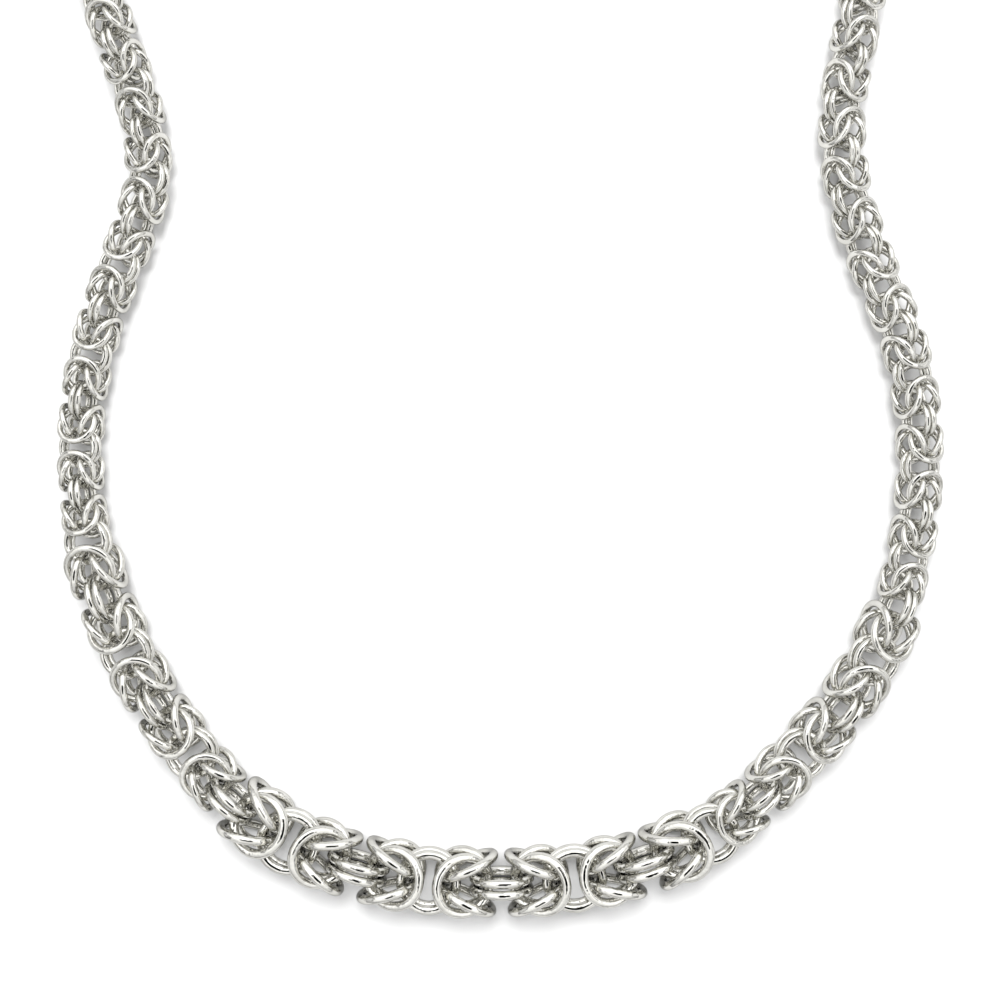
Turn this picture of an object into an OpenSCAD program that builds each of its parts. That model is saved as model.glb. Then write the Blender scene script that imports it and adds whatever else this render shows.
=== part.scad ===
// Byzantine chain necklace, closed, lying on a flat surface.
// X runs across the necklace, Y from its front up to its clasp, Z up from the surface.
// The rings stand in knots of four, strung on pairs of joint rings. Every second joint
// stands upright and the others lie flat, so each knot is turned a quarter to the last.

/* [Centre rings] */
// Outside diameter of the rings at the middle of the front
centre_od = 8.1; // [8:0.05:8.2]
// Wire diameter of the centre rings
centre_wire = 1.2; // [1.1:0.01:1.22]
// Knots of centre rings left of the front joint
centre_left = 4; // [1:1:8]
// Knots of centre rings right of the front joint
centre_right = 3; // [1:1:8]

/* [Middle rings] */
// Outside diameter of the rings between the centre and the sides
middle_od = 6.6; // [6.5:0.05:6.8]
// Wire diameter of the middle rings
middle_wire = 0.93; // [0.85:0.01:0.95]
// Knots of middle rings on each side
middle_knots = 5; // [1:1:8]

/* [Side rings] */
// Outside diameter of the rings along the sides and the back
side_od = 5.2; // [5.1:0.05:5.3]
// Wire diameter of the side rings
side_wire = 0.76; // [0.68:0.01:0.78]
// Knots of separate side rings on the left
side_left = 11; // [1:1:11]
// Knots of separate side rings on the right
side_right = 12; // [1:1:12]

/* [Weave] */
// Length of one knot, joint to joint, in ring radii
knot_pitch = 2.64; // [2.62:0.01:2.68]
// Lean of a knot's upper and lower rings
face_tilt = 22; // [21:0.5:23]
// Lean of a knot's inner and outer rings
edge_tilt = 23.5; // [22.5:0.5:24.5]
// Distance of the upper and lower rings from the middle of their knot, in ring radii
face_offset = 0.575; // [0.57:0.005:0.59]
// Distance of the inner and outer rings from the middle of their knot, in ring radii
edge_offset = 0.6; // [0.59:0.005:0.615]
// Distance of a joint's two rings from the middle of the joint, in ring radii
joint_offset = 0.2; // [0.19:0.005:0.21]
// Gap that separate pieces of the chain keep
piece_gap = 0.15; // [0.1:0.01:0.3]

/* [Back] */
// Distance from the front joint up to the clasp
loop_height = 160; // [150:0.5:180]
// Straight reach of the chain where it enters and leaves the back's curves
back_reach = 34; // [30:0.5:42]
// Thickness of the back chain
back_od = 5.2; // [4.5:0.05:5.2]

/* [Clasp] */
// Length of the barrel
barrel_length = 9.4; // [8:0.1:12]
// Diameter of the barrel
barrel_od = 4.8; // [4:0.1:4.8]
// Bevel at each end of the barrel
barrel_bevel = 0.7; // [0.3:0.05:1.2]
// Outside diameter of the eye at each end
eye_od = 3.9; // [3.6:0.05:4.2]
// Wire diameter of the eyes
eye_wire = 0.9; // [0.7:0.05:1]

/* [Hidden] */

// Sides of the necklace, as X signs and as indexes of the tables below
SIDES = [0, 1];
LEFT = 0;
RIGHT = 1;

// Position of the front joint
front = [0.13, -79.3];

// Route of the chain from the front joint up each side, arc after arc: [length, turn in degrees]
route = [
    [[6, 2], [18, 20], [14, 25], [16, 12], [18, 17], [30, 32], [13, 6], [12, -38], [15, -10]],
    [
        [10, 8], [14, 17], [12, 20], [12, 4], [18, 24], [20, 19], [20, 24], [12, -12], [12, -20],
        [11, -18]
    ]
];

// Roll of the chain about its own line, inner side up: [distance from the front joint, degrees]
roll_table = [
    [[0, 0], [25, 0], [45, 9], [95, 12], [125, 23], [150, 24]],
    [[0, 0], [20, 0], [38, 12], [50, 19], [88, 24], [131, 34], [150, 34]]
];

// Ring sizes by grade: centre, middle, side
CENTRE = 0;
MIDDLE = 1;
SIDE = 2;
ring_od = [centre_od, middle_od, side_od];
ring_wire = [centre_wire, middle_wire, side_wire];
centre_knots = [centre_left, centre_right];
side_knots = [side_left, side_right];

// Shift of a knot's pairs from its middle toward the joint that they straddle, in ring radii
face_shift = 0.07;
edge_shift = 0.08;
// Where a joint's rings differ from a knot's, these shares of the difference
// lengthen the knot and move its middle away from the larger joint
length_share = 0.6;
middle_share = 0.25;
// Slip of a flat joint's two rings across the chain, in ring radii
joint_slip = 0.03;
// Slack under the rings, for those whose line climbs a little
rest_slack = 0.01;

// Rings of the back chain's tube on each side, and its sides
tube_rings = 9;
tube_sides = 12;

// Smoothness of a ring
ring_facets = 48;
wire_facets = 24;

UP = [0, 0, 1];

function unit(v) = v / norm(v);
function side_sign(side) = side == LEFT ? -1 : 1;
function ring_radius(grade) = (ring_od[grade] - ring_wire[grade]) / 2;
function knots(side) = centre_knots[side] + middle_knots + side_knots[side];

// Grade of the rings in a knot, counted from the front joint
function knot_grade(side, knot) =
    knot < centre_knots[side] ? CENTRE
    : knot < centre_knots[side] + middle_knots ? MIDDLE
    : SIDE;

// Grades of the knots before and after a joint, and the rings of the mean size between them
function joint_grades(side, joint) =
    [knot_grade(side, max(joint - 1, 0)), knot_grade(side, min(joint, knots(side) - 1))];
function joint_radius(side, joint) =
    let (grades = joint_grades(side, joint))
    (ring_radius(grades[0]) + ring_radius(grades[1])) / 2;
function joint_wire(side, joint) =
    let (grades = joint_grades(side, joint))
    (ring_wire[grades[0]] + ring_wire[grades[1]]) / 2;

// Length of a knot, joint to joint
function knot_length(side, knot) =
    let (
        radius = ring_radius(knot_grade(side, knot)),
        excess = joint_radius(side, knot) + joint_radius(side, knot + 1) - 2 * radius
    )
    knot_pitch * radius + length_share * excess;

// Distance of a joint from the front joint, along the chain
function joint_distance(side, joint) =
    joint == 0 ? 0 : joint_distance(side, joint - 1) + knot_length(side, joint - 1);

// Place and heading after walking a distance along arcs from a start: [x, y, heading]
function walk(arcs, distance, from = 0, x = 0, y = 0, heading = 0) =
    from == len(arcs) ? [x + distance * cos(heading), y + distance * sin(heading), heading]
    : let (
        arc = arcs[from],
        step = min(distance, arc[0]),
        next = heading + arc[1] * step / arc[0],
        bend = arc[1] == 0 ? 0 : arc[0] * 180 / (arc[1] * PI),
        nx = x + (bend == 0 ? step * cos(heading) : bend * (sin(next) - sin(heading))),
        ny = y + (bend == 0 ? step * sin(heading) : bend * (cos(heading) - cos(next)))
    )
    distance <= arc[0] ? [nx, ny, next]
    : walk(arcs, distance - arc[0], from + 1, nx, ny, next);

// How far a rolled chain reaches below its line, in ring radii
function line_depth(roll) =
    max(
        face_offset * cos(roll) + sqrt(1 - pow(cos(face_tilt) * cos(roll), 2)),
        edge_offset * sin(roll) + sqrt(1 - pow(cos(edge_tilt) * sin(roll), 2)),
        joint_offset * sin(roll) + cos(roll)
    );

// Height of the chain's line where the lowest ring touches the surface
function line_height(roll, grade) =
    ring_radius(grade) * line_depth(roll) + ring_wire[grade] / 2 + rest_slack;

function joint_roll(side, joint) = lookup(joint_distance(side, joint), roll_table[side]);
function joint_heading(side, joint) =
    let (turn = walk(route[side], joint_distance(side, joint))[2])
    [side_sign(side) * cos(turn), sin(turn), 0];
function joint_point(side, joint) =
    let (place = walk(route[side], joint_distance(side, joint)))
    [
        front[0] + side_sign(side) * place[0],
        front[1] + place[1],
        line_height(joint_roll(side, joint), joint_grades(side, joint)[0])
    ];

// Directions of a rolled chain: along it, toward its inner side, and up out of its face
function chain_frame(side, along, roll) =
    let (
        inward = side_sign(side) * unit(cross(UP, along)),
        out = side_sign(side) * cross(along, inward)
    )
    [along, inward * cos(roll) + out * sin(roll), out * cos(roll) - inward * sin(roll)];

// One round wire ring in the plane of two unit directions
module wire_ring(radius, wire, centre, first, second) {
    normal = cross(first, second);
    multmatrix([
        [first[0], second[0], normal[0], centre[0]],
        [first[1], second[1], normal[1], centre[1]],
        [first[2], second[2], normal[2], centre[2]],
        [0, 0, 0, 1]
    ])
        rotate_extrude($fn = ring_facets)
            translate([radius, 0])
                circle(d = wire, $fn = wire_facets);
}

// The two joint rings: upright at even joints, flat at odd ones
module joint(side, number) {
    radius = joint_radius(side, number);
    before = joint_point(side, max(number - 1, 0));
    after = joint_point(side, min(number + 1, knots(side)));
    along = number == 0 ? joint_heading(side, 0) : unit(after - before);
    frame = chain_frame(side, along, joint_roll(side, number));
    flat = number % 2 == 1;
    apart = joint_offset * radius * (flat ? frame[2] : frame[1]);
    slip = flat ? -joint_slip * radius * frame[1] : [0, 0, 0];
    for (pick = [-1, 1])
        wire_ring(
            radius,
            joint_wire(side, number),
            joint_point(side, number) + pick * (apart + slip),
            frame[0],
            frame[flat ? 1 : 2]
        );
}

// A pair of leaning rings that opens toward one joint and closes toward the other
module leaning_pair(grade, middle, open_way, apart, across, offset, tilt) {
    for (pick = [-1, 1])
        wire_ring(
            ring_radius(grade),
            ring_wire[grade],
            middle + pick * offset * ring_radius(grade) * apart,
            cos(tilt) * open_way + pick * sin(tilt) * apart,
            across
        );
}

// The four rings between a joint and the next: two straddle the flat joint, two the upright one
module knot(side, number) {
    grade = knot_grade(side, number);
    start = joint_point(side, number);
    end = joint_point(side, number + 1);
    roll = (joint_roll(side, number) + joint_roll(side, number + 1)) / 2;
    frame = chain_frame(side, unit(end - start), roll);
    excess = joint_radius(side, number) - joint_radius(side, number + 1);
    middle = (start + end) / 2 + middle_share * excess * frame[0];
    flat_way = (number % 2 == 1 ? -1 : 1) * frame[0];
    face_middle = middle + face_shift * ring_radius(grade) * flat_way;
    edge_middle = middle - edge_shift * ring_radius(grade) * flat_way;
    leaning_pair(grade, face_middle, flat_way, frame[2], frame[1], face_offset, face_tilt);
    leaning_pair(grade, edge_middle, -flat_way, frame[1], frame[2], edge_offset, edge_tilt);
}

module front_links() {
    color("silver") {
        joint(LEFT, 0);
        for (side = SIDES)
            for (number = [0:knots(side) - 1]) {
                knot(side, number);
                joint(side, number + 1);
            }
    }
}

// The back chain's line on one side: from the last separate joint to the clasp's eye
clasp_height = line_height(0, SIDE);
clasp_x = (joint_point(LEFT, knots(LEFT))[0] + joint_point(RIGHT, knots(RIGHT))[0]) / 2;
clasp_y = front[1] + loop_height;
eye_radius = (eye_od - eye_wire) / 2;
eye_place = barrel_length / 2 + eye_radius;
function back_controls(side) =
    let (
        start = joint_point(side, knots(side)),
        leave = joint_heading(side, knots(side)),
        end = [clasp_x + side_sign(side) * (eye_place + ring_radius(SIDE)), clasp_y, clasp_height]
    )
    [start, start + back_reach * leave, end + back_reach * side_sign(side) * [1, 0, 0], end];
function curve_point(p, t) =
    pow(1 - t, 3) * p[0] + 3 * pow(1 - t, 2) * t * p[1]
    + 3 * (1 - t) * pow(t, 2) * p[2] + pow(t, 3) * p[3];
function curve_heading(p, t) =
    unit(pow(1 - t, 2) * (p[1] - p[0]) + 2 * (1 - t) * t * (p[2] - p[1]) + pow(t, 2) * (p[3] - p[2]));

// Near its ends the curve runs three reaches for each unit of t
tube_start = (side_od / 2 + piece_gap) / (3 * back_reach);
tube_end = 1 - max(0, eye_od / 2 + piece_gap - ring_radius(SIDE)) / (3 * back_reach);

module back_tube(side) {
    controls = back_controls(side);
    points = [
        for (i = [0:tube_rings - 1])
            let (
                t = tube_start + (tube_end - tube_start) * i / (tube_rings - 1),
                along = curve_heading(controls, t),
                across = unit(cross(UP, along)),
                out = cross(along, across)
            )
            for (j = [0:tube_sides - 1])
                let (turn = 360 * j / tube_sides)
                curve_point(controls, t) + back_od / 2 * (cos(turn) * across + sin(turn) * out)
    ];
    last = (tube_rings - 1) * tube_sides;
    faces = [
        [for (j = [0:tube_sides - 1]) j],
        for (i = [0:tube_rings - 2])
            for (j = [0:tube_sides - 1])
                let (
                    a = i * tube_sides + j,
                    b = i * tube_sides + (j + 1) % tube_sides,
                    c = b + tube_sides,
                    d = a + tube_sides
                )
                each [[c, b, a], [d, c, a]],
        [for (j = [tube_sides - 1:-1:0]) last + j]
    ];
    polyhedron(points, faces);
}

module back_chain() {
    color("silver")
        for (side = SIDES)
            back_tube(side);
}

// Barrel with an eye at each end, in one piece
module clasp() {
    half = barrel_length / 2;
    radius = barrel_od / 2;
    color("silver")
        translate([clasp_x, clasp_y, clasp_height]) {
            rotate([0, 90, 0])
                rotate_extrude($fn = ring_facets)
                    polygon([
                        [0, -half],
                        [radius - barrel_bevel, -half],
                        [radius, barrel_bevel - half],
                        [radius, half - barrel_bevel],
                        [radius - barrel_bevel, half],
                        [0, half]
                    ]);
            for (side = SIDES)
                translate([side_sign(side) * eye_place, 0, 0])
                    rotate_extrude($fn = ring_facets)
                        translate([eye_radius, 0])
                            circle(d = eye_wire, $fn = wire_facets);
        }
}

front_links();
back_chain();
clasp();
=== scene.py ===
import math
from collections import namedtuple

import bpy
import numpy as np
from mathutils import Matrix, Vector


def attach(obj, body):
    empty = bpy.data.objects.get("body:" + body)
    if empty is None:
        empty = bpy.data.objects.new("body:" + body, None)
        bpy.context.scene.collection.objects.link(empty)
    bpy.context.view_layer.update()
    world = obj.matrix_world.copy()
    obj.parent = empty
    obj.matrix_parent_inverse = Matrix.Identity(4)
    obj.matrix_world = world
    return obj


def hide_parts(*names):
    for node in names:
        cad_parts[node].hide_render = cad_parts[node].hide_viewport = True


# Byzantine chain necklace of polished silver: every ring of the front and of the back as fine
# round wire, and the plain barrel clasp. Lengths of the chain are in millimetres until its
# meshes are made, those of the looks and the light in metres.

MM = 0.001
UP = np.array([0.0, 0.0, 1.0])
LEFT, RIGHT = 0, 1
SIGN = (-1.0, 1.0)

# The same named values as the part's source
CENTRE, MIDDLE, SIDE = 0, 1, 2
RING_OD = (8.1, 6.6, 5.2)
RING_WIRE = (1.2, 0.93, 0.76)
CENTRE_KNOTS = (4, 3)
MIDDLE_KNOTS = 5
SIDE_KNOTS = (11, 12)
KNOT_PITCH = 2.64
FACE_TILT = math.radians(22)
EDGE_TILT = math.radians(23.5)
FACE_OFFSET = 0.575
EDGE_OFFSET = 0.6
JOINT_OFFSET = 0.2
FRONT = (0.13, -79.3)
LOOP_HEIGHT = 160.0
BACK_REACH = 34.0
ROUTE = (
    ((6, 2), (18, 20), (14, 25), (16, 12), (18, 17), (30, 32), (13, 6), (12, -38), (15, -10)),
    (
        (10, 8), (14, 17), (12, 20), (12, 4), (18, 24), (20, 19), (20, 24), (12, -12), (12, -20),
        (11, -18),
    ),
)
ROLL = (
    ((0, 0), (25, 0), (45, 9), (95, 12), (125, 23), (150, 24)),
    ((0, 0), (20, 0), (38, 12), (50, 19), (88, 24), (131, 34), (150, 34)),
)
FACE_SHIFT = 0.07
EDGE_SHIFT = 0.08
LENGTH_SHARE = 0.6
MIDDLE_SHARE = 0.25
JOINT_SLIP = 0.03
REST_SLACK = 0.01
BARREL_LENGTH = 9.4
EYE_OD = 3.9
EYE_WIRE = 0.9

# Knots of the back chain on each side, between the front links and the clasp
BACK_KNOTS = 14
# Share of the back over which the chain's roll dies away
UNROLL_SHARE = 0.7
# Points on the back's curve, by which its length is measured
CURVE_POINTS = 801

# Mesh steps round a ring and round its wire: by grade for the front, and for the back
FRONT_STEPS = ((72, 24), (64, 20), (56, 18))
BACK_STEPS = (40, 14)
# Chance lean of each ring about two axes, in degrees: the usual one and the largest
LEAN = 0.5
LEAN_LIMIT = 2 * LEAN
# Texture map round each ring and round its wire
WIRE_MAP = "wire"

WHITE = (1, 1, 1, 1)

# Silver where it is clean and where it is tarnished, and its tint at a glancing look
CLEAN = (0.76, 0.751, 0.712, 1)
TARNISHED = (0.64, 0.632, 0.592, 1)
GLANCING_TINT = (0.48, 0.48, 0.48, 1)
# Noises in the silver: cells in a metre, and detail
TARNISH_NOISE = (420, 3)
MARKS_NOISE = (9000, 2)
WAVES_NOISE = (800, 2)
GRAIN_NOISE = (6000, 3)
# Drawn lines: cells round a ring and round its wire, with one for the unused third axis
DRAWN_CELLS = (3, 16, 1)
DRAWN_DETAIL = 2
# Noise values between which the tarnish sets in, and between which the polishing marks do
TARNISH_SPAN = (0.35, 0.7)
MARKS_SPAN = (0.3, 0.75)
# Roughness beside the polishing marks and in them
MARKS_ROUGHNESS = (0.02, 0.07)
# Heights of the bumps
WAVES_HEIGHT = 0.00011
DRAWN_HEIGHT = 0.00004
GRAIN_HEIGHT = 0.0000015

# Paper: half its side, its roughness, and its colour and glow as seen and in reflections
FLOOR_REACH = 3
PAPER_ROUGHNESS = 0.9
PAPER_SHADES = (("Base Color", 0.65, 0.6), ("Emission Strength", 0.07, 0))

# Studio tent: the way to the middle of its dark gap, and its brightness by the cosine to it
GAP_WAY = (0.12, -0.04, 1)
TENT_STOPS = ((0, 0.5), (0.12, 0.65), (0.4, 1.15), (0.75, 1.55), (0.908, 1.65), (0.937, 0.01))
# Share of that brightness by how far sideways a direction points: a dark slit to each side
SLIT_STOPS = ((0, 1), (0.79, 1), (0.82, 0.35), (0.87, 0.35), (0.9, 1))
# Share of it from the necklace's front to its back, between two directions along Y
FADE_BETWEEN = (-0.7, 0.7)
FADE_SHARES = (0.7, 1.3)

# Key softbox: place, what it points to, width and height, and power in watts
KEY_PLACE = (-0.02, 0.26, 0.66)
KEY_TARGET = (0, 0, 0)
KEY_SIZE = (0.3, 0.26)
KEY_POWER = 5

# Camera: its place from the front joint and over the chain's line, in millimetres
CAMERA_FROM_FRONT = (-0.2, 47.85)
CAMERA_OVER_LINE = 181.25
# Sensor width in millimetres, focal length in sensor widths, and nearest distance seen
SENSOR_WIDTH = 36
FOCAL_WIDTHS = 1.45
CLIP_START = 0.01

# The knot before a ring or around it, its line's radius, its wire, centre and plane directions
Ring = namedtuple("Ring", "knot radius wire centre first second")


def unit(vector):
    return vector / np.linalg.norm(vector)


def ring_radius(grade):
    return (RING_OD[grade] - RING_WIRE[grade]) / 2


def knots(side):
    return CENTRE_KNOTS[side] + MIDDLE_KNOTS + SIDE_KNOTS[side]


def knot_grade(side, knot):
    if knot < CENTRE_KNOTS[side]:
        return CENTRE
    return MIDDLE if knot < CENTRE_KNOTS[side] + MIDDLE_KNOTS else SIDE


def joint_grades(side, joint):
    return knot_grade(side, max(joint - 1, 0)), knot_grade(side, joint)


def joint_radius(side, joint):
    return sum(ring_radius(grade) for grade in joint_grades(side, joint)) / 2


def joint_wire(side, joint):
    return sum(RING_WIRE[grade] for grade in joint_grades(side, joint)) / 2


def knot_length(side, knot):
    radius = ring_radius(knot_grade(side, knot))
    excess = joint_radius(side, knot) + joint_radius(side, knot + 1) - 2 * radius
    return KNOT_PITCH * radius + LENGTH_SHARE * excess


def joint_distances(side):
    return [0.0] + list(np.cumsum([knot_length(side, knot) for knot in range(knots(side))]))


def walk(arcs, distance):
    """Place and heading after walking a distance along arcs: x, y, heading in radians."""
    x = y = heading = 0.0
    for length, turn in arcs:
        step = min(distance, length)
        after = heading + math.radians(turn) * step / length
        bend = length / math.radians(turn)
        x += bend * (math.sin(after) - math.sin(heading))
        y += bend * (math.cos(heading) - math.cos(after))
        heading = after
        distance -= step
        if distance <= 0:
            break
    return x, y, heading


def line_height(roll, grade):
    """Height of the chain's line where the lowest ring touches the surface."""
    face = FACE_OFFSET * math.cos(roll) + math.sqrt(1 - (math.cos(FACE_TILT) * math.cos(roll)) ** 2)
    edge = EDGE_OFFSET * math.sin(roll) + math.sqrt(1 - (math.cos(EDGE_TILT) * math.sin(roll)) ** 2)
    joint = JOINT_OFFSET * math.sin(roll) + math.cos(roll)
    return ring_radius(grade) * max(face, edge, joint) + RING_WIRE[grade] / 2 + REST_SLACK


def front_joints(side):
    """Place and roll of the joints that the source has too, and the heading at the last one."""
    rows = []
    roll_at, roll_to = zip(*ROLL[side])
    for number, distance in enumerate(joint_distances(side)):
        x, y, heading = walk(ROUTE[side], distance)
        roll = math.radians(float(np.interp(distance, roll_at, roll_to)))
        height = line_height(roll, joint_grades(side, number)[0])
        rows.append((np.array([FRONT[0] + SIGN[side] * x, FRONT[1] + y, height]), roll))
    return rows, heading


def clasp_place():
    ends = [walk(ROUTE[side], joint_distances(side)[-1])[0] for side in (LEFT, RIGHT)]
    last = [end * SIGN[side] + FRONT[0] for side, end in enumerate(ends)]
    return np.array([sum(last) / 2, FRONT[1] + LOOP_HEIGHT, line_height(0, SIDE)])


def curve(points, share):
    """Place on the smooth curve that starts and ends at the outer two of four points."""
    rest = 1 - share
    return (
        rest ** 3 * points[0]
        + 3 * rest ** 2 * share * points[1]
        + 3 * rest * share ** 2 * points[2]
        + share ** 3 * points[3]
    )


def back_joints(side, start, start_roll, heading):
    """Place and roll of the joints between the last one of the front and the clasp's eye."""
    leave = np.array([SIGN[side] * math.cos(heading), math.sin(heading), 0.0])
    out = np.array([SIGN[side], 0.0, 0.0])
    eye_place = BARREL_LENGTH / 2 + (EYE_OD - EYE_WIRE) / 2
    end = clasp_place() + (eye_place + ring_radius(SIDE)) * out
    points = (start, start + BACK_REACH * leave, end + BACK_REACH * out, end)
    line = np.array([curve(points, share) for share in np.linspace(0, 1, CURVE_POINTS)])
    run = np.concatenate([[0], np.cumsum(np.linalg.norm(np.diff(line, axis=0), axis=1))])
    rows = []
    for knot in range(1, BACK_KNOTS + 1):
        share = knot / BACK_KNOTS
        ease = min(share / UNROLL_SHARE, 1)
        roll = start_roll * (1 - ease * ease * (3 - 2 * ease))
        x, y = (float(np.interp(share * run[-1], run, line[:, axis])) for axis in (0, 1))
        rows.append((np.array([x, y, line_height(roll, SIDE)]), roll))
    return rows


def chain_frame(side, along, roll):
    """Directions of a rolled chain: along it, toward its inner side, and up out of its face."""
    inward = SIGN[side] * unit(np.cross(UP, along))
    out = SIGN[side] * np.cross(along, inward)
    rolled_inward = inward * math.cos(roll) + out * math.sin(roll)
    rolled_out = out * math.cos(roll) - inward * math.sin(roll)
    return along, rolled_inward, rolled_out


def joint_rings(side, rows):
    """Two rings for every joint, upright at even joints and flat at odd ones."""
    rings = []
    for number, (place, roll) in enumerate(rows):
        if number == 0 and side == RIGHT:
            # The front joint counts to the left side
            continue
        if number == 0:
            along = np.array([-1.0, 0.0, 0.0])
        elif number in (knots(side), len(rows) - 1):
            along = unit(place - rows[number - 1][0])
        else:
            along = unit(rows[number + 1][0] - rows[number - 1][0])
        along, inward, out = chain_frame(side, along, roll)
        flat = number % 2 == 1
        radius = joint_radius(side, number)
        wire = joint_wire(side, number)
        apart = JOINT_OFFSET * radius * (out if flat else inward)
        slip = -JOINT_SLIP * radius * inward if flat else 0
        second = inward if flat else out
        for pick in (-1, 1):
            centre = place + pick * (apart + slip)
            rings.append(Ring(number - 1, radius, wire, centre, along, second))
    return rings


def knot_rings(side, rows):
    """Four rings between each joint and the next: a pair in the face and a pair at the edges."""
    rings = []
    for number in range(len(rows) - 1):
        (start, start_roll), (end, end_roll) = rows[number], rows[number + 1]
        grade = knot_grade(side, number)
        radius = ring_radius(grade)
        along, inward, out = chain_frame(side, unit(end - start), (start_roll + end_roll) / 2)
        excess = joint_radius(side, number) - joint_radius(side, number + 1)
        middle = (start + end) / 2 + MIDDLE_SHARE * excess * along
        flat_way = (-1 if number % 2 == 1 else 1) * along
        for open_way, apart, across, shift, offset, tilt in (
            (flat_way, out, inward, FACE_SHIFT, FACE_OFFSET, FACE_TILT),
            (-flat_way, inward, out, EDGE_SHIFT, EDGE_OFFSET, EDGE_TILT),
        ):
            for pick in (-1, 1):
                centre = middle + shift * radius * open_way + pick * offset * radius * apart
                first = math.cos(tilt) * open_way + pick * math.sin(tilt) * apart
                rings.append(Ring(number, radius, RING_WIRE[grade], centre, first, across))
    return rings


def side_rings(side):
    """All rings of one side, from the front joint to the clasp."""
    rows, heading = front_joints(side)
    rows += back_joints(side, *rows[-1], heading)
    return joint_rings(side, rows) + knot_rings(side, rows)


def graded(rings, side, grade):
    """Those of a side's rings that have one grade and stand for front links of the source."""
    return [
        ring for ring in rings[side]
        if ring.knot < knots(side) and knot_grade(side, max(ring.knot, 0)) == grade
    ]


def behind(rings, side):
    """Those of a side's rings that stand for the back chain of the source."""
    return [ring for ring in rings[side] if ring.knot >= knots(side)]


def chain_pieces():
    """The meshes of the chain as rows: name, rings, mesh steps."""
    rings = [side_rings(side) for side in (LEFT, RIGHT)]
    centre = graded(rings, LEFT, CENTRE) + graded(rings, RIGHT, CENTRE)
    return (
        ("centre_rings", centre, FRONT_STEPS[CENTRE]),
        ("middle_rings_left", graded(rings, LEFT, MIDDLE), FRONT_STEPS[MIDDLE]),
        ("middle_rings_right", graded(rings, RIGHT, MIDDLE), FRONT_STEPS[MIDDLE]),
        ("side_rings_left", graded(rings, LEFT, SIDE), FRONT_STEPS[SIDE]),
        ("side_rings_right", graded(rings, RIGHT, SIDE), FRONT_STEPS[SIDE]),
        ("back_rings_left", behind(rings, LEFT), BACK_STEPS),
        ("back_rings_right", behind(rings, RIGHT), BACK_STEPS),
    )


def ring_grid(steps, sides):
    """Faces of one ring, and their corners as shares of the way round it and round its wire."""
    at, spoke = np.meshgrid(np.arange(steps), np.arange(sides), indexing="ij")
    next_at, next_spoke = (at + 1) % steps, (spoke + 1) % sides
    faces = np.stack([
        at * sides + spoke,
        next_at * sides + spoke,
        next_at * sides + next_spoke,
        at * sides + next_spoke,
    ], -1)
    round_ring = np.stack([at, at + 1, at + 1, at], -1) / steps
    round_wire = np.stack([spoke, spoke, spoke + 1, spoke + 1], -1) / sides
    return faces.reshape(-1, 4), round_ring, round_wire


def ring_points(ring, steps, sides, chance):
    """Points on the wire of one ring, which leans and turns by chance."""
    lean = np.radians(chance.normal(0, LEAN, 2).clip(-LEAN_LIMIT, LEAN_LIMIT))
    normal = np.cross(ring.first, ring.second)
    normal = unit(normal + lean[0] * ring.first + lean[1] * ring.second)
    first = unit(ring.first - np.dot(ring.first, normal) * normal)
    second = np.cross(normal, first)
    turn = chance.uniform(0, math.tau) + np.arange(steps) * math.tau / steps
    radial = np.outer(np.cos(turn), first) + np.outer(np.sin(turn), second)
    angle = np.arange(sides) * math.tau / sides
    points = (
        ring.centre
        + (ring.radius + ring.wire / 2 * np.cos(angle))[None, :, None] * radial[:, None, :]
        + (ring.wire / 2 * np.sin(angle))[None, :, None] * normal
    )
    return points.reshape(-1, 3)


def add_object(name, data):
    made = bpy.data.objects.new(name, data)
    bpy.context.scene.collection.objects.link(made)
    return made


def ring_piece(name, rings, mesh_steps, seed):
    """One mesh of round wire rings."""
    steps, sides = mesh_steps
    chance = np.random.default_rng(seed)
    ring_faces, round_ring, round_wire = ring_grid(steps, sides)
    points, faces, corners = [], [], []
    for index, ring in enumerate(rings):
        points.append(ring_points(ring, steps, sides, chance))
        faces.append(ring_faces + index * steps * sides)
        corners.append(np.stack([round_ring + index, round_wire], -1).reshape(-1, 2))
    mesh = bpy.data.meshes.new(name)
    mesh.from_pydata((np.concatenate(points) * MM).tolist(), [], np.concatenate(faces).tolist())
    layer = mesh.uv_layers.new(name=WIRE_MAP)
    layer.data.foreach_set("uv", np.concatenate(corners).astype(np.float32).ravel())
    mesh.polygons.foreach_set("use_smooth", np.ones(len(mesh.polygons), bool))
    mesh.update()
    return add_object(name, mesh)


def grey(level):
    return level, level, level, 1


def noise(tree, place, scale, detail):
    node = tree.nodes.new("ShaderNodeTexNoise")
    node.inputs["Scale"].default_value = scale
    node.inputs["Detail"].default_value = detail
    tree.links.new(place, node.inputs["Vector"])
    return node.outputs["Fac"]


def ramp(tree, source, stops, interpolation="LINEAR"):
    """Colours by a source's value, from stops in rising order: value, colour."""
    node = tree.nodes.new("ShaderNodeValToRGB")
    elements = node.color_ramp.elements
    node.color_ramp.interpolation = interpolation
    elements.remove(elements[1])
    elements[0].position, elements[0].color = stops[0]
    for position, color in stops[1:]:
        elements.new(position).color = color
    tree.links.new(source, node.inputs["Fac"])
    return node.outputs["Color"]


def grey_ramp(tree, source, stops, interpolation="LINEAR"):
    grey_stops = [(position, grey(level)) for position, level in stops]
    return ramp(tree, source, grey_stops, interpolation)


def bump(tree, source, height, before=None):
    """Bumps of a height, on top of those before."""
    node = tree.nodes.new("ShaderNodeBump")
    node.inputs["Strength"].default_value = 1
    node.inputs["Distance"].default_value = height
    tree.links.new(source, node.inputs["Height"])
    if before:
        tree.links.new(before, node.inputs["Normal"])
    return node.outputs["Normal"]


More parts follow.
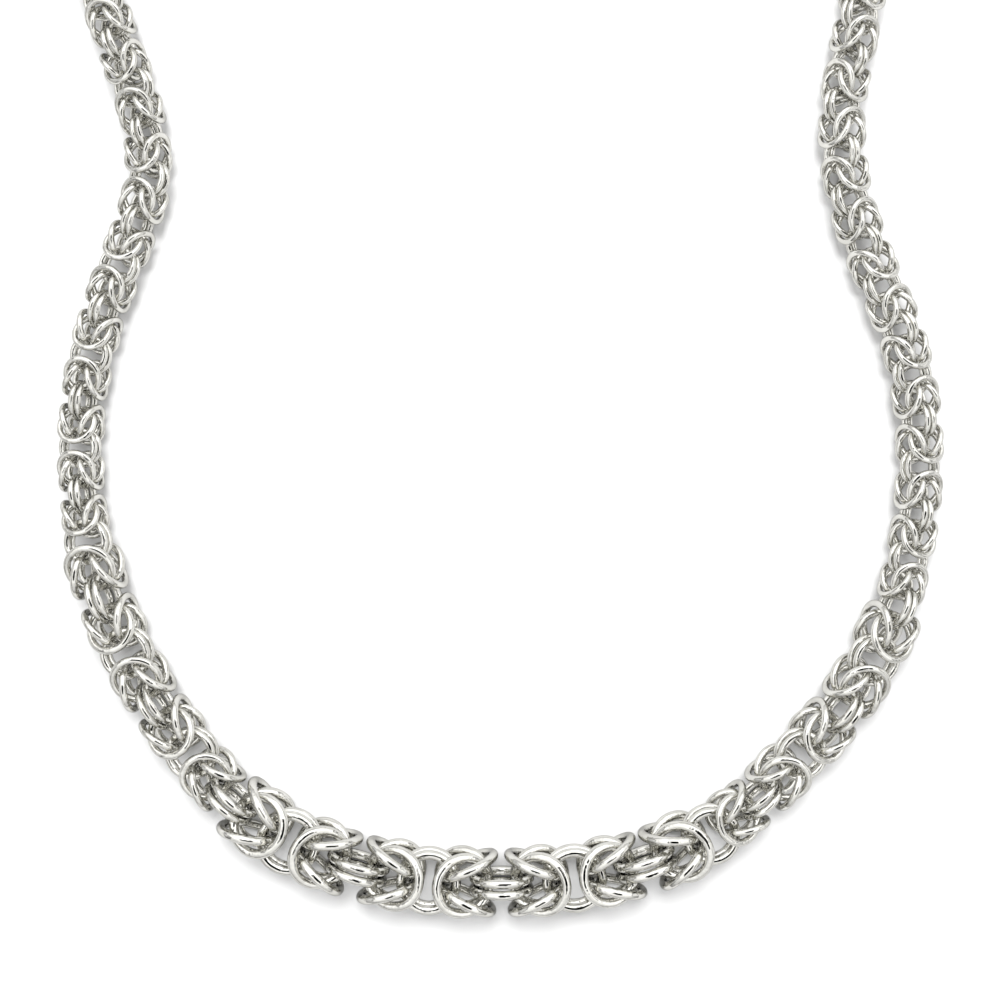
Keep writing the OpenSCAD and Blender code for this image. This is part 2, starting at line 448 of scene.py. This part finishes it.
def drawn_lines(tree):
    """Noise that is stretched along the wire by the texture map."""
    wire_map = tree.nodes.new("ShaderNodeUVMap")
    wire_map.uv_map = WIRE_MAP
    stretch = tree.nodes.new("ShaderNodeMapping")
    stretch.inputs["Scale"].default_value = DRAWN_CELLS
    tree.links.new(wire_map.outputs["UV"], stretch.inputs["Vector"])
    return noise(tree, stretch.outputs["Vector"], 1, DRAWN_DETAIL)


def silver():
    """Polished silver with thin tarnish, polishing marks, drawn lines and waves of worked wire."""
    material = bpy.data.materials.new("polished_silver")
    material.use_nodes = True
    tree = material.node_tree
    shader = tree.nodes["Principled BSDF"]
    shader.inputs["Metallic"].default_value = 1
    shader.inputs["Specular Tint"].default_value = GLANCING_TINT
    place = tree.nodes.new("ShaderNodeTexCoord").outputs["Object"]

    tarnish = noise(tree, place, *TARNISH_NOISE)
    tint = ramp(tree, tarnish, list(zip(TARNISH_SPAN, (CLEAN, TARNISHED))))
    tree.links.new(tint, shader.inputs["Base Color"])
    marks = noise(tree, place, *MARKS_NOISE)
    roughness = grey_ramp(tree, marks, list(zip(MARKS_SPAN, MARKS_ROUGHNESS)))
    tree.links.new(roughness, shader.inputs["Roughness"])

    surface = bump(tree, noise(tree, place, *WAVES_NOISE), WAVES_HEIGHT)
    surface = bump(tree, drawn_lines(tree), DRAWN_HEIGHT, surface)
    surface = bump(tree, noise(tree, place, *GRAIN_NOISE), GRAIN_HEIGHT, surface)
    tree.links.new(surface, shader.inputs["Normal"])
    return material


def paper():
    """White paper, which reflections see a little darker than the camera does."""
    material = bpy.data.materials.new("paper")
    material.use_nodes = True
    tree = material.node_tree
    shader = tree.nodes["Principled BSDF"]
    reflected = tree.nodes.new("ShaderNodeLightPath").outputs["Is Glossy Ray"]
    for socket, seen, mirrored in PAPER_SHADES:
        share = tree.nodes.new("ShaderNodeMapRange")
        share.inputs["To Min"].default_value = seen
        share.inputs["To Max"].default_value = mirrored
        tree.links.new(reflected, share.inputs["Value"])
        tree.links.new(share.outputs["Result"], shader.inputs[socket])
    shader.inputs["Emission Color"].default_value = WHITE
    shader.inputs["Roughness"].default_value = PAPER_ROUGHNESS
    shader.inputs["Specular IOR Level"].default_value = 0
    return material


def paper_floor():
    reach = FLOOR_REACH
    corners = [(-reach, -reach, 0), (reach, -reach, 0), (reach, reach, 0), (-reach, reach, 0)]
    mesh = bpy.data.meshes.new("floor")
    mesh.from_pydata(corners, [], [(0, 1, 2, 3)])
    mesh.materials.append(paper())
    return add_object("floor", mesh)


def calculate(tree, operation, *sources):
    node = tree.nodes.new("ShaderNodeMath")
    node.operation = operation
    for index, source in enumerate(sources):
        tree.links.new(source, node.inputs[index])
    return node.outputs["Value"]


def studio():
    """Pale tent, dim toward the ground, with a dark gap over the object and a slit to each side."""
    world = bpy.data.worlds.new("studio")
    world.use_nodes = True
    tree = world.node_tree
    direction = tree.nodes.new("ShaderNodeTexCoord").outputs["Generated"]
    axes = tree.nodes.new("ShaderNodeSeparateXYZ")
    tree.links.new(direction, axes.inputs["Vector"])

    toward_gap = tree.nodes.new("ShaderNodeVectorMath")
    toward_gap.operation = "DOT_PRODUCT"
    toward_gap.inputs[1].default_value = Vector(GAP_WAY).normalized()
    tree.links.new(direction, toward_gap.inputs[0])
    tent = grey_ramp(tree, toward_gap.outputs["Value"], TENT_STOPS, "EASE")

    fade = tree.nodes.new("ShaderNodeMapRange")
    fade.inputs["From Min"].default_value, fade.inputs["From Max"].default_value = FADE_BETWEEN
    fade.inputs["To Min"].default_value, fade.inputs["To Max"].default_value = FADE_SHARES
    tree.links.new(axes.outputs["Y"], fade.inputs["Value"])
    level = calculate(tree, "MULTIPLY", tent, fade.outputs["Result"])

    sideways = calculate(tree, "ABSOLUTE", axes.outputs["X"])
    slits = grey_ramp(tree, sideways, SLIT_STOPS)
    brightness = calculate(tree, "MULTIPLY", level, slits)
    background = tree.nodes["Background"]
    background.inputs["Color"].default_value = WHITE
    tree.links.new(brightness, background.inputs["Strength"])
    return world


def key_softbox():
    """Lights the paper and casts the chain's shadow. The silver doesn't reflect it."""
    light = bpy.data.lights.new("key", "AREA")
    light.shape = "RECTANGLE"
    light.size, light.size_y = KEY_SIZE
    light.energy = KEY_POWER
    lamp = add_object("key", light)
    lamp.location = KEY_PLACE
    facing = Vector(KEY_TARGET) - Vector(KEY_PLACE)
    lamp.rotation_euler = facing.to_track_quat("-Z", "Y").to_euler()
    lamp.visible_glossy = False


def photo_camera():
    """Camera that looks straight down on the front of the necklace."""
    data = bpy.data.cameras.new("camera")
    data.sensor_width = SENSOR_WIDTH
    data.lens = FOCAL_WIDTHS * SENSOR_WIDTH
    data.clip_start = CLIP_START
    camera = add_object("camera", data)
    camera.location = (
        (FRONT[0] + CAMERA_FROM_FRONT[0]) * MM,
        (FRONT[1] + CAMERA_FROM_FRONT[1]) * MM,
        (line_height(0, CENTRE) + CAMERA_OVER_LINE) * MM,
    )
    return camera


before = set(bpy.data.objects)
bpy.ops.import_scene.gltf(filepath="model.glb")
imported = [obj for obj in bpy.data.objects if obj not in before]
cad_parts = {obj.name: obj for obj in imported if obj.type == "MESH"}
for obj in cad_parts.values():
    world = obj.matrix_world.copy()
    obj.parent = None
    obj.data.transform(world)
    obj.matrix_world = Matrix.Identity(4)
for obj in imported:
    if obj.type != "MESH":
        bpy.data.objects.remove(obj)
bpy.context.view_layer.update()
scene = bpy.context.scene

# Chain
metal = silver()
for seed, (name, rings, mesh_steps) in enumerate(chain_pieces()):
    piece = ring_piece(name, rings, mesh_steps, seed)
    piece.data.materials.append(metal)
    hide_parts("back_chain" if name.startswith("back") else "front_links")
    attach(piece, "root")

# Clasp
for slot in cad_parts["clasp"].material_slots:
    slot.material = metal

# Floor, light and camera
floor = paper_floor()
scene.world = studio()
key_softbox()
scene.camera = photo_camera()
scene.view_settings.view_transform = "Standard"
